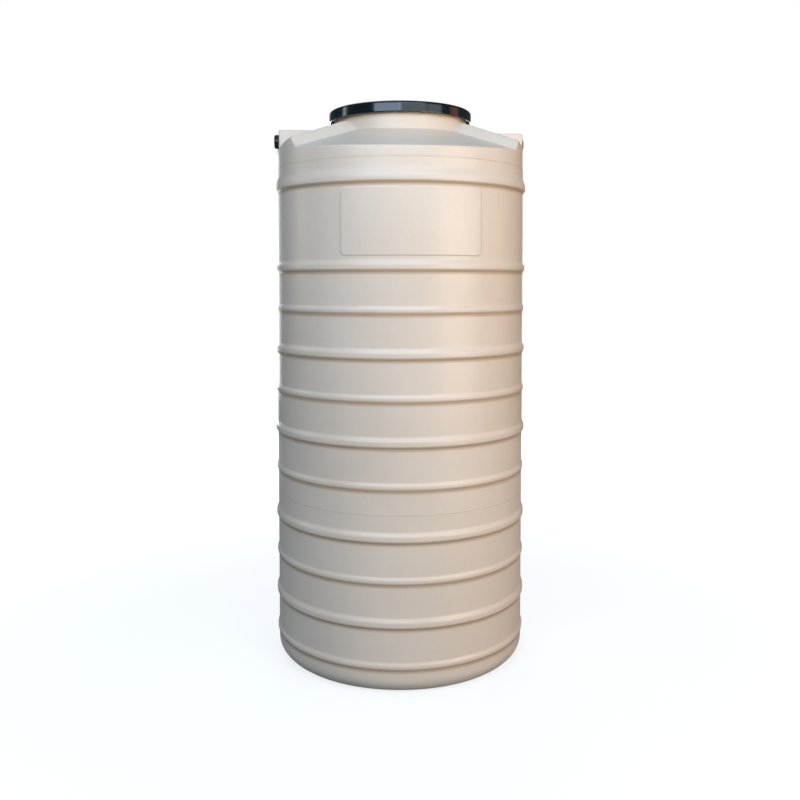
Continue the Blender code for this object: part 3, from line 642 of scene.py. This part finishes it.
def ridge_share(sizes, turn, rear):
    """Height of a ridge's section, from 0 at its feet to 1 at its crest, with its corners rounded."""
    foot, peak, soft = sizes.ridge_foot, sizes.ridge_peak, sizes.ridge_soft
    climb, fall = 1 / (peak - foot), -1 / (rear - peak)

    def corner(at, before, after, level):
        off = turn - at
        return level + before * off + (after - before) * (off + soft) ** 2 / (4 * soft)

    if turn <= foot - soft or turn >= rear + soft:
        return 0.0
    if turn < foot + soft:
        return corner(foot, 0, climb, 0)
    if turn <= peak - soft:
        return (turn - foot) * climb
    if turn < peak + soft:
        return corner(peak, climb, fall, 1)
    if turn <= rear - soft:
        return (rear - turn) / (rear - peak)
    return corner(rear, fall, 0, 0)


def spread(start, end, step):
    """Even values from start up to but without end, no further apart than the step."""
    steps = max(1, ceil((end - start) / step - 1e-6))
    return [start + (end - start) * n / steps for n in range(steps)]


def quarter_columns(sizes):
    """Wall angle, neck angle and ridge share of each column of one quarter, from front to side."""
    rear = acos(sizes.boss_half / sizes.tank_radius)
    rear_neck = acos(sizes.boss_half / sizes.neck_radius)
    foot, peak, soft = sizes.ridge_foot, sizes.ridge_peak, sizes.ridge_soft
    corner = sizes.panel_corner / sizes.tank_radius
    edge = 1.5 * sizes.panel_edge / sizes.tank_radius
    wide, near, fine = radians(2.3), radians(0.32), soft / 2
    inner, outer = sizes.panel_angle - corner, sizes.panel_angle + edge
    turns = spread(0, inner, wide) + spread(inner, outer, near) + spread(outer, foot - soft, wide)
    turns += spread(foot - soft, foot + soft, fine) + spread(foot + soft, peak - soft, 3 * fine)
    turns += spread(peak - soft, peak + soft, fine) + spread(peak + soft, rear - soft, wide)
    turns += spread(rear - soft, rear + soft, fine) + spread(rear + soft, pi / 2, wide) + [pi / 2]
    bends = [(0, 0), (foot, sizes.ridge_foot_neck), (peak, sizes.ridge_peak_neck)]
    bends += [(rear, rear_neck), (pi / 2, pi / 2)]
    columns = []
    for turn in turns:
        for (low, low_neck), (high, high_neck) in zip(bends, bends[1:]):
            if turn <= high + 1e-9:
                neck = low_neck + (high_neck - low_neck) * (turn - low) / (high - low)
                break
        columns.append((turn, neck, ridge_share(sizes, turn, rear)))
    return columns


def all_columns(sizes):
    """The columns of all four quarters, once round, each with the signs of its quarter."""
    quarter = quarter_columns(sizes)
    columns = []
    for side, front in ((1, -1), (1, 1), (-1, 1), (-1, -1)):
        run = quarter if side * front < 0 else quarter[::-1]
        columns += [(*column, side, front) for column in run[:-1]]
    return columns


def hoop_heights(sizes):
    for start, pitch, number_of in (
        (sizes.lower_start, sizes.lower_pitch, sizes.lower_count),
        (sizes.upper_start, sizes.upper_pitch, sizes.upper_count),
    ):
        for n in range(number_of):
            yield start + n * pitch, n % 2 == 1


def wall_heights(sizes, steps_below, steps_above, between, lines):
    """Heights of the wall's rows, close together at the hoops and, with lines set, at parting and panel."""
    hoops = [(sizes.shoulder_height, sizes.broad_face, sizes.shoulder_slope)]
    for height, broad in hoop_heights(sizes):
        face = sizes.broad_face if broad else sizes.slim_face
        hoops.append((height, face, sizes.broad_fade if broad else sizes.slim_fade))
    heights, beside = [], 0.0015
    for height, face, fade in hoops:
        below = height - face - sizes.hoop_under
        above = height + face * sizes.crest_share
        heights += [below - beside, height + fade + beside]
        heights += [below + sizes.hoop_under * n / steps_below for n in range(steps_below + 1)]
        heights += [above + (height + fade - above) * n / steps_above for n in range(steps_above + 1)]
    if lines:
        parting, half = sizes.parting_height, sizes.parting_half
        heights += [parting + half * n for n in (-1.6, -1, -0.5, 0, 0.5, 1, 1.6)]
        edge, corner = sizes.panel_edge, sizes.panel_corner
        steps = [edge * n for n in (-0.3, 0, 0.25, 0.5, 0.75, 1, 1.3)]
        steps += [corner * n for n in (0.42, 0.56, 0.7, 0.85, 1)]
        heights += [sizes.panel_foot + step for step in steps]
        heights += [sizes.panel_top - step for step in steps]
    heights = sorted(heights)
    filled = []
    for low, high in zip(heights, heights[1:]):
        filled += spread(low, high, between)
    return filled + [heights[-1]]


def bend(start, corner, end, steps):
    """Points on a rounded corner between two places, its ends included."""
    points = []
    for n in range(steps + 1):
        t = n / steps
        points.append(start * (1 - t) ** 2 + corner * 2 * t * (1 - t) + end * t**2)
    return points


def column_rows(sizes, column, outer_heights, inner_heights):
    """Places of one column from the middle of the base over roof and neck to the inner base."""
    turn, neck_turn, share, side, front = column
    radius, wall, corner = sizes.tank_radius, sizes.wall, sizes.base_corner
    out = Vector((side * sin(turn), front * cos(turn), 0))
    neck_out = Vector((side * sin(neck_turn), front * cos(neck_turn), 0))

    def at(direction, distance, height):
        return direction * distance + AXIS_Z * height

    def roof(reach, wall_reach, t, drop):
        flat = out * wall_reach + (neck_out * reach - out * wall_reach) * t
        rise = sizes.ridge_rise + (sizes.ridge_rise_neck - sizes.ridge_rise) * t
        return flat + AXIS_Z * (roof_level(sizes, flat.x, flat.y) + share * rise - drop)

    rows, marks = [], []

    def add(places, wall_share=0.0):
        rows.extend(places)
        marks.extend([wall_share] * len(places))

    add([at(out, (radius - corner) * n, 0) for n in (0.3, 0.6, 0.85)])
    add([at(out, r, z) for r, z in arc(radius - corner, corner, corner, -90, 0, 9)])
    add([at(out, radius, z) for z in outer_heights], 1.0)
    high = radius - sizes.collar_step
    collar = sizes.collar_height
    add([at(out, radius, collar - 0.006), at(out, radius, collar)])
    add([at(out, high, collar + sizes.collar_step)])
    first, last = roof(sizes.neck_radius, high, 0, 0), roof(sizes.neck_radius, high, 1, 0)
    run = (last - first).xy.length
    soft = sizes.eave_round
    foot = at(out, high, first.z - soft)
    low = collar + sizes.collar_step
    add([at(out, high, low + (foot.z - low) * n) for n in (0.33, 0.66)])
    add(bend(foot, first, roof(sizes.neck_radius, high, soft / run, 0), 4))
    add([roof(sizes.neck_radius, high, t, 0) for t in spread(soft / run, 1 - soft / run, 0.07)[1:]])
    near = roof(sizes.neck_radius, high, 1 - soft / run, 0)
    add(bend(near, last, last + AXIS_Z * soft, 3))
    top, neck, rim = sizes.neck_top, sizes.neck_radius, sizes.neck_radius + sizes.rim_width
    rim_foot, rim_edge = top - sizes.rim_depth, 0.002
    add([at(neck_out, neck, last.z + soft + (rim_foot - last.z - soft) * n) for n in (0.5, 1)])
    add([at(neck_out, rim, rim_foot + sizes.rim_width / 2)])
    add([at(neck_out, r, z) for r, z in arc(rim - rim_edge, top - rim_edge, rim_edge, 0, 90, 3)])
    bore = neck - wall
    add([at(neck_out, r, z) for r, z in arc(bore + rim_edge, top - rim_edge, rim_edge, 90, 180, 3)])
    drop = wall * 1.08  # the wall's thickness measured upright through the sloping roof
    inner_last = roof(bore, radius - wall, 1, drop)
    add([at(neck_out, bore, inner_last.z + (top - inner_last.z) * n) for n in (0.6, 0.25)])
    add([roof(bore, radius - wall, 1 - n / 8, drop) for n in range(9)])
    inner_first = rows[-1]
    inside = at(out, radius - wall, inner_heights[-1])
    add([inside + (inner_first - inside) * n for n in (0.66, 0.33)])
    add([at(out, radius - wall, z) for z in reversed(inner_heights)], 1.0)
    add([at(out, r, z) for r, z in arc(radius - corner, corner, corner - wall, 0, -90, 5)])
    add([at(out, (radius - corner) * n, wall) for n in (0.7, 0.35)])
    return rows, marks


def plain_shell(sizes):
    """The closed wall, roof and neck as one grid of columns, without hoops and bosses."""
    columns = all_columns(sizes)
    outer = wall_heights(sizes, steps_below=6, steps_above=9, between=0.030, lines=True)
    inner = wall_heights(sizes, steps_below=2, steps_above=3, between=0.060, lines=False)
    outer = [z for z in outer if z > sizes.base_corner + 0.001]
    inner = [z for z in inner if z > sizes.base_corner + 0.001]
    places, shares = [], []
    for column in columns:
        rows, marks = column_rows(sizes, column, outer, inner)
        places += rows
        shares += marks
    rows = len(places) // len(columns)
    faces = []
    for c in range(len(columns)):
        here, there = c * rows, (c + 1) % len(columns) * rows
        for k in range(rows - 1):
            faces.append((here + k, there + k, there + k + 1, here + k + 1))
    low, high = len(places), len(places) + 1
    places += [Vector((0, 0, 0)), Vector((0, 0, sizes.wall))]
    shares += [0.0, 0.0]
    for c in range(len(columns)):
        here, there = c * rows, (c + 1) % len(columns) * rows
        faces.append((low, there, here))
        faces.append((high, here + rows - 1, there + rows - 1))
    mesh = bpy.data.meshes.new("tank_shell_moulded")
    mesh.from_pydata([tuple(place) for place in places], [], faces)
    mark(mesh, "wall_share", shares)
    return mesh


def boss_block(sizes, side, inset):
    """The solid of one side boss, from its upright face in to the neck."""
    face, half, top = sizes.boss_face - inset, sizes.boss_half - inset, sizes.boss_top - inset
    root = sizes.collar_height + sizes.boss_root + inset
    inner = sizes.neck_radius - sizes.boss_root - inset
    low, high = (inner, -half, root), (face, half, top)
    if side < 0:
        low, high = (-face, -half, root), (-inner, half, top)
    work = block(low, high)
    soft = sizes.boss_edge_inside if inset else sizes.boss_edge
    near = 1e-4

    def outer_corner(vert):
        return abs(vert.co.x) > face - near and vert.co.z > top - near

    edges = [edge for edge in work.edges if any(outer_corner(vert) for vert in edge.verts)]
    bmesh.ops.bevel(work, geom=edges, offset=soft, segments=4, profile=0.5, affect="EDGES")
    return work


def along(axis, place):
    """The matrix that turns Z onto an axis and moves to a place."""
    return Matrix.Translation(place) @ AXIS_Z.rotation_difference(axis).to_matrix().to_4x4()


def rod(radius, start, end, axis, place, segments=96, soft=0.0):
    """A solid rod along an axis, its far edge rounded."""
    profile = [(0, start), (radius, start)]
    profile += arc(radius - soft, end - soft, soft, 0, 90, 4) if soft else [(radius, end)]
    profile += [(0, end)]
    mesh = turned("rod", profile, segments)
    mesh.transform(along(axis, place))
    work = bmesh.new()
    work.from_mesh(mesh)
    bpy.data.meshes.remove(mesh)
    return work


def port_places(sizes, fittings):
    """Wall face and outward axis of each connector."""
    back = sizes.tank_radius + sizes.outlet_rise
    return {
        "inlet": (Vector((-sizes.boss_face, 0, fittings.port_height)), -AXIS_X),
        "overflow": (Vector((sizes.boss_face, 0, fittings.port_height)), AXIS_X),
        "outlet": (Vector((0, back, fittings.outlet_height)), AXIS_Y),
    }


class TANK_OT_shell(bpy.types.Operator):
    """Build the moulded tank: wall with hoops and panel, roof with ridges and bosses, neck"""

    bl_idname = "tank.shell"
    bl_label = "Tank Shell"

    def execute(self, context):
        sizes, fittings = context.scene.tank_shell_sizes, context.scene.tank_fitting_sizes
        paint = finish("tank")
        mesh = run_tree(plain_shell(sizes), hoop_tree(), tree_values(sizes, HOOP_SIZES, paint))
        face_out(mesh)
        for side in (-1, 1):
            mesh = merge_solid(mesh, boss_block(sizes, side, 0), "UNION")
            mesh = merge_solid(mesh, boss_block(sizes, side, sizes.wall), "DIFFERENCE")
        back = sizes.tank_radius + sizes.outlet_rise
        height = AXIS_Z * fittings.outlet_height
        pad = rod(sizes.outlet_boss, back - sizes.outlet_root, back, AXIS_Y, height, soft=sizes.outlet_edge)
        mesh = merge_solid(mesh, pad, "UNION")
        for port, (place, outward) in port_places(sizes, fittings).items():
            shank = fittings.outlet_shank if port == "outlet" else fittings.port_shank
            wide, inside = shank + fittings.hole_gap, fittings.hole_inside
            hole = rod(wide, -inside, fittings.hole_outside, outward, place)
            mesh = merge_solid(mesh, hole, "DIFFERENCE")
        mesh.name = "tank_shell_moulded"
        piece("tank_shell_moulded", mesh, paint, "tank", "tank_plastic", "tank_shell", edge_angle=36)
        return {"FINISHED"}


# Lid and seal
class TANK_OT_lid(bpy.types.Operator):
    """Build the drop-over lid and the ring seal under it"""

    bl_idname = "tank.lid"
    bl_label = "Lid and Seal"

    def execute(self, context):
        sizes = context.scene.tank_lid_sizes
        radius, wall, edge = sizes.radius, sizes.wall, sizes.edge
        flat = radius - edge
        inner = radius - wall
        under = sizes.top - wall

        def crown(distance, base, reach, rise):
            return base + rise * (1 - (distance / reach) ** 2)

        steps = [flat * n / 18 for n in range(18)]
        profile = [(step, crown(step, sizes.top, flat, sizes.crown)) for step in steps]
        profile += arc(flat, sizes.top - edge, edge, 90, 0, 10)
        lip, seat = sizes.lip, sizes.seat
        profile += [(radius, sizes.top - edge - 0.006), (radius, sizes.foot + 0.004)]
        profile += arc(radius - lip, sizes.foot + lip, lip, 0, -90, 3)
        profile += arc(inner + lip, sizes.foot + lip, lip, -90, -180, 3)
        profile += [(inner, under), (seat, under)]
        rise = sizes.crown * (seat / flat) ** 2
        steps = [seat * n / 8 for n in reversed(range(8))]
        profile += [(step, crown(step, under, seat, rise)) for step in steps]
        mesh = turned("manhole_lid_turned", profile, 192)
        piece("manhole_lid_turned", mesh, finish("lid"), "lid", "lid_plastic", "manhole_lid")

        start = under - sizes.seal_height - sizes.seal_gap
        half, soft = sizes.seal_width / 2, sizes.seal_edge
        low, high = sizes.seal_radius - half, sizes.seal_radius + half
        end = start + sizes.seal_height
        profile = arc(high - soft, start + soft, soft, -90, 0, 3)
        profile += arc(high - soft, end - soft, soft, 0, 90, 3)
        profile += arc(low + soft, end - soft, soft, 90, 180, 3)
        profile += arc(low + soft, start + soft, soft, 180, 270, 3)
        mesh = turned("lid_seal_ring", profile, 192)
        piece("lid_seal_ring", mesh, finish("rubber"), "lid", "rubber", "lid_seal")
        return {"FINISHED"}


# Connectors
def connector_mesh(name, fittings, bore, shank, head, head_length, paint):
    """A turned connector along Z with a threaded shank, its head outward."""
    start = fittings.gasket + 2 * fittings.touch_gap
    end = start + head_length
    edge, reach, mouth = fittings.head_edge, fittings.shank_reach, fittings.bore_edge
    thread_end, slant, bevel = -fittings.thread_end, fittings.shank_chamfer, fittings.head_chamfer
    profile = [(bore, -reach + slant), (bore + slant, -reach), (shank - slant, -reach)]
    rows = spread(-reach + slant, thread_end, fittings.thread_pitch / 6)
    profile += [(shank, z) for z in rows] + [(shank, thread_end), (shank, start)]
    profile += [(head - bevel, start), (head, start + bevel)]
    profile += arc(head - edge, end - edge, edge, 0, 90, 6)
    profile += arc(bore + mouth, end - mouth, mouth, 90, 180, 3)
    mesh = turned(name, profile, 96)
    shares = []
    for vert in mesh.vertices:
        within = -reach + 1.5 * slant < vert.co.z < thread_end + 1e-6
        outer = hypot(vert.co.x, vert.co.y) > shank - 1e-5
        shares.append(1.0 if within and outer else 0.0)
    mark(mesh, "thread_share", shares)
    return run_tree(mesh, thread_tree(), tree_values(fittings, THREAD_SIZES, paint))


class TANK_OT_connectors(bpy.types.Operator):
    """Build the inlet, overflow and outlet connectors and their gaskets"""

    bl_idname = "tank.connectors"
    bl_label = "Connectors"

    def execute(self, context):
        sizes, fittings = context.scene.tank_shell_sizes, context.scene.tank_fitting_sizes
        black, rubber = finish("fitting"), finish("rubber")
        for port, (place, outward) in port_places(sizes, fittings).items():
            kind = "outlet" if port == "outlet" else "port"
            parts = ("bore", "shank", "head", "length")
            bore, shank, head, reach = (getattr(fittings, f"{kind}_{part}") for part in parts)
            there = along(outward, place)
            name = f"{port}_connector_turned"
            mesh = connector_mesh(name, fittings, bore, shank, head, reach, black)
            mesh.transform(there)
            piece(name, mesh, black, "tank", "fitting_plastic", f"{port}_connector")
            outer, inner = head - fittings.gasket_margin, shank + fittings.hole_gap
            start, soft = fittings.touch_gap, fittings.gasket_edge
            end = start + fittings.gasket
            profile = [(inner, start), (outer - soft, start)]
            profile += arc(outer - soft, (start + end) / 2, soft, -60, 60, 4)
            profile += [(outer - soft, end), (inner, end)]
            mesh = turned(f"{port}_gasket_ring", profile, 96)
            mesh.transform(there)
            piece(f"{port}_gasket_ring", mesh, rubber, "tank", "rubber", f"{port}_gasket")
        return {"FINISHED"}


# Finishes of the CAD nodes that stay
NODE_FINISHES = {
    "inlet_locknut": "fitting", "overflow_locknut": "fitting", "outlet_locknut": "fitting",
    "valve_body": "brass", "valve_seat": "nylon", "valve_end_cap": "brass", "valve_plunger": "brass",
    "plunger_washer": "rubber", "lever_arm": "brass", "pivot_pin": "steel", "float_ball": "float",
    "float_locknut": "brass",
}


class TANK_OT_float_valve(bpy.types.Operator):
    """Give the locknuts and the float valve's pieces their finishes"""

    bl_idname = "tank.float_valve"
    bl_label = "Locknuts and Float Valve"

    def execute(self, context):
        for node, name in NODE_FINISHES.items():
            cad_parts[node].material_slots[0].material = finish(name)
        return {"FINISHED"}


# Floor, lights and camera
def softbox(name, azimuth, elevation, distance, size, power, tint, target):
    """A square area light aimed at a point."""
    lamp = bpy.data.lights.new(name, "AREA")
    lamp.shape, lamp.size, lamp.size_y = "RECTANGLE", size[0], size[1]
    lamp.energy, lamp.color = power, tint
    made = add_object(name, lamp)
    a, e = radians(azimuth), radians(elevation)
    back = Vector((sin(a) * cos(e), -cos(a) * cos(e), sin(e)))
    turn = back.to_track_quat("Z", "Y").to_matrix().to_4x4()
    made.matrix_world = Matrix.Translation(target + back * distance) @ turn


LAMPS = (
    # name, azimuth, elevation, distance, width and height, power, tint
    ("left_strip", -102, 18, 4.0, (0.45, 2.2), 12, (1.0, 0.96, 0.80)),
    ("cool_window", -25, 23, 4.2, (2.9, 1.0), 52, (0.81, 0.87, 0.98)),
    ("cool_high", -8, 44, 3.6, (4.4, 0.6), 50, (0.64, 0.79, 1.0)),
    ("front_panel", 14, 23, 4.2, (3.0, 2.2), 47, (0.98, 0.94, 0.85)),
    ("warm_strip", 45, 6, 4.2, (2.4, 1.9), 65, (1.0, 0.78, 0.57)),
    ("high_right", 49, 24, 4.2, (1.7, 0.7), 7, (0.92, 0.91, 1.0)),
    ("warm_side", 88, 12, 4.0, (1.2, 2.2), 12, (1.0, 0.38, 0.08)),
    ("top", 0, 88, 3.2, (2.6, 2.6), 15, (0.45, 0.75, 1.0)),
    ("back_left", -168, 5, 4.4, (2.6, 2.0), 80, (0.96, 0.97, 1.0)),
    ("back_right", 168, 5, 4.4, (2.6, 2.0), 80, (1.0, 0.95, 0.88)),
)


def seen_share(kit, way):
    """1 where the white backdrop is seen: straight, through a piece, or mirrored from behind the tank."""
    behind = kit.ease(kit.parts(way)[1], 0.90, 0.99, 0.0, 1.0)
    path = kit.node("ShaderNodeLightPath").outputs
    straight = kit.math("MAXIMUM", path["Is Camera Ray"], path["Is Transmission Ray"])
    return kit.math("MAXIMUM", straight, kit.math("MULTIPLY", path["Is Glossy Ray"], behind))


def floor_material(studio):
    made = bpy.data.materials.new("floor_paper")
    made.use_nodes = True
    made.node_tree.nodes.clear()
    kit = Tree(made.node_tree)
    matt = kit.node("ShaderNodeBsdfDiffuse", {"Color": opaque(studio.floor)})
    place = kit.node("ShaderNodeTexCoord").outputs["Object"]
    way = kit.node("ShaderNodeVectorMath", {0: place}, operation="NORMALIZE").outputs[0]
    reach = kit.node("ShaderNodeVectorMath", {0: place}, operation="LENGTH").outputs["Value"]
    glow = kit.ease(reach, studio.glow_start, studio.glow_end, studio.glow_near, 1.0)
    lift = kit.node("ShaderNodeEmission", {"Strength": kit.math("MULTIPLY", seen_share(kit, way), glow)})
    both = kit.node("ShaderNodeAddShader", {0: matt.outputs[0], 1: lift.outputs[0]})
    kit.node("ShaderNodeOutputMaterial", {"Surface": both.outputs[0]})
    return made


def light_world(studio):
    world = bpy.data.worlds.new("studio")
    world.use_nodes = True
    kit = Tree(world.node_tree)
    background = world.node_tree.nodes["Background"]
    seen = seen_share(kit, kit.node("ShaderNodeTexCoord").outputs["Generated"])
    kit.link(kit.mix(seen, studio.ambient, (1, 1, 1)), background.inputs["Color"])
    bpy.context.scene.world = world


class TANK_OT_stage(bpy.types.Operator):
    """Build the floor, the lights, the world and the camera"""

    bl_idname = "tank.stage"
    bl_label = "Stage"

    def execute(self, context):
        scene, studio = context.scene, context.scene.tank_studio
        floor = bpy.data.meshes.new("floor")
        reach = studio.floor_half
        corners = [(-reach, -reach, 0), (reach, -reach, 0), (reach, reach, 0), (-reach, reach, 0)]
        floor.from_pydata(corners, [], [(0, 1, 2, 3)])
        floor.materials.append(floor_material(studio))
        made = add_object("floor", floor)
        made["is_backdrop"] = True
        for lamp in LAMPS:
            softbox(*lamp, AXIS_Z * studio.aim)
        light_world(studio)
        lens = bpy.data.cameras.new("camera")
        lens.sensor_width, lens.lens, lens.shift_y = 36, studio.lens, studio.shift
        camera = add_object("camera", lens)
        turn = studio.azimuth
        camera.location = (sin(turn) * studio.distance, -cos(turn) * studio.distance, studio.eye)
        camera.rotation_euler = (pi / 2 - studio.pitch, 0, turn)
        scene.camera = camera
        scene.view_settings.view_transform = "Standard"
        return {"FINISHED"}


class TANK_PT_panel(bpy.types.Panel):
    """One button for each builder of the tank's pieces, and one for the stage"""

    bl_idname = "TANK_PT_panel"
    bl_label = "Water Tank"
    bl_space_type = "VIEW_3D"
    bl_region_type = "UI"
    bl_category = "Water Tank"

    def draw(self, context):
        for builder in OPERATORS:
            self.layout.operator(builder.bl_idname, text=builder.bl_label)


GROUPS = {
    "tank_shell_sizes": ShellSizes, "tank_lid_sizes": LidSizes, "tank_fitting_sizes": FittingSizes,
    "tank_finishes": Finishes, "tank_studio": Studio,
}
OPERATORS = (TANK_OT_shell, TANK_OT_lid, TANK_OT_connectors, TANK_OT_float_valve, TANK_OT_stage)


def register():
    for made in (*GROUPS.values(), *OPERATORS, TANK_PT_panel):
        bpy.utils.register_class(made)
    for name, group in GROUPS.items():
        setattr(bpy.types.Scene, name, PointerProperty(type=group))


def unregister():
    for name in GROUPS:
        delattr(bpy.types.Scene, name)
    for made in (TANK_PT_panel, *reversed(OPERATORS), *GROUPS.values()):
        bpy.utils.unregister_class(made)


def main():
    register()
    bpy.ops.tank.shell()
    bpy.ops.tank.lid()
    bpy.ops.tank.connectors()
    bpy.ops.tank.float_valve()
    bpy.ops.tank.stage()
    boxes = {"cad": CAD_BOX, "visual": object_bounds()}
    plain = {name: [[float(v) for v in corner] for corner in box] for name, box in boxes.items()}


if __name__ == "__main__":
    main()
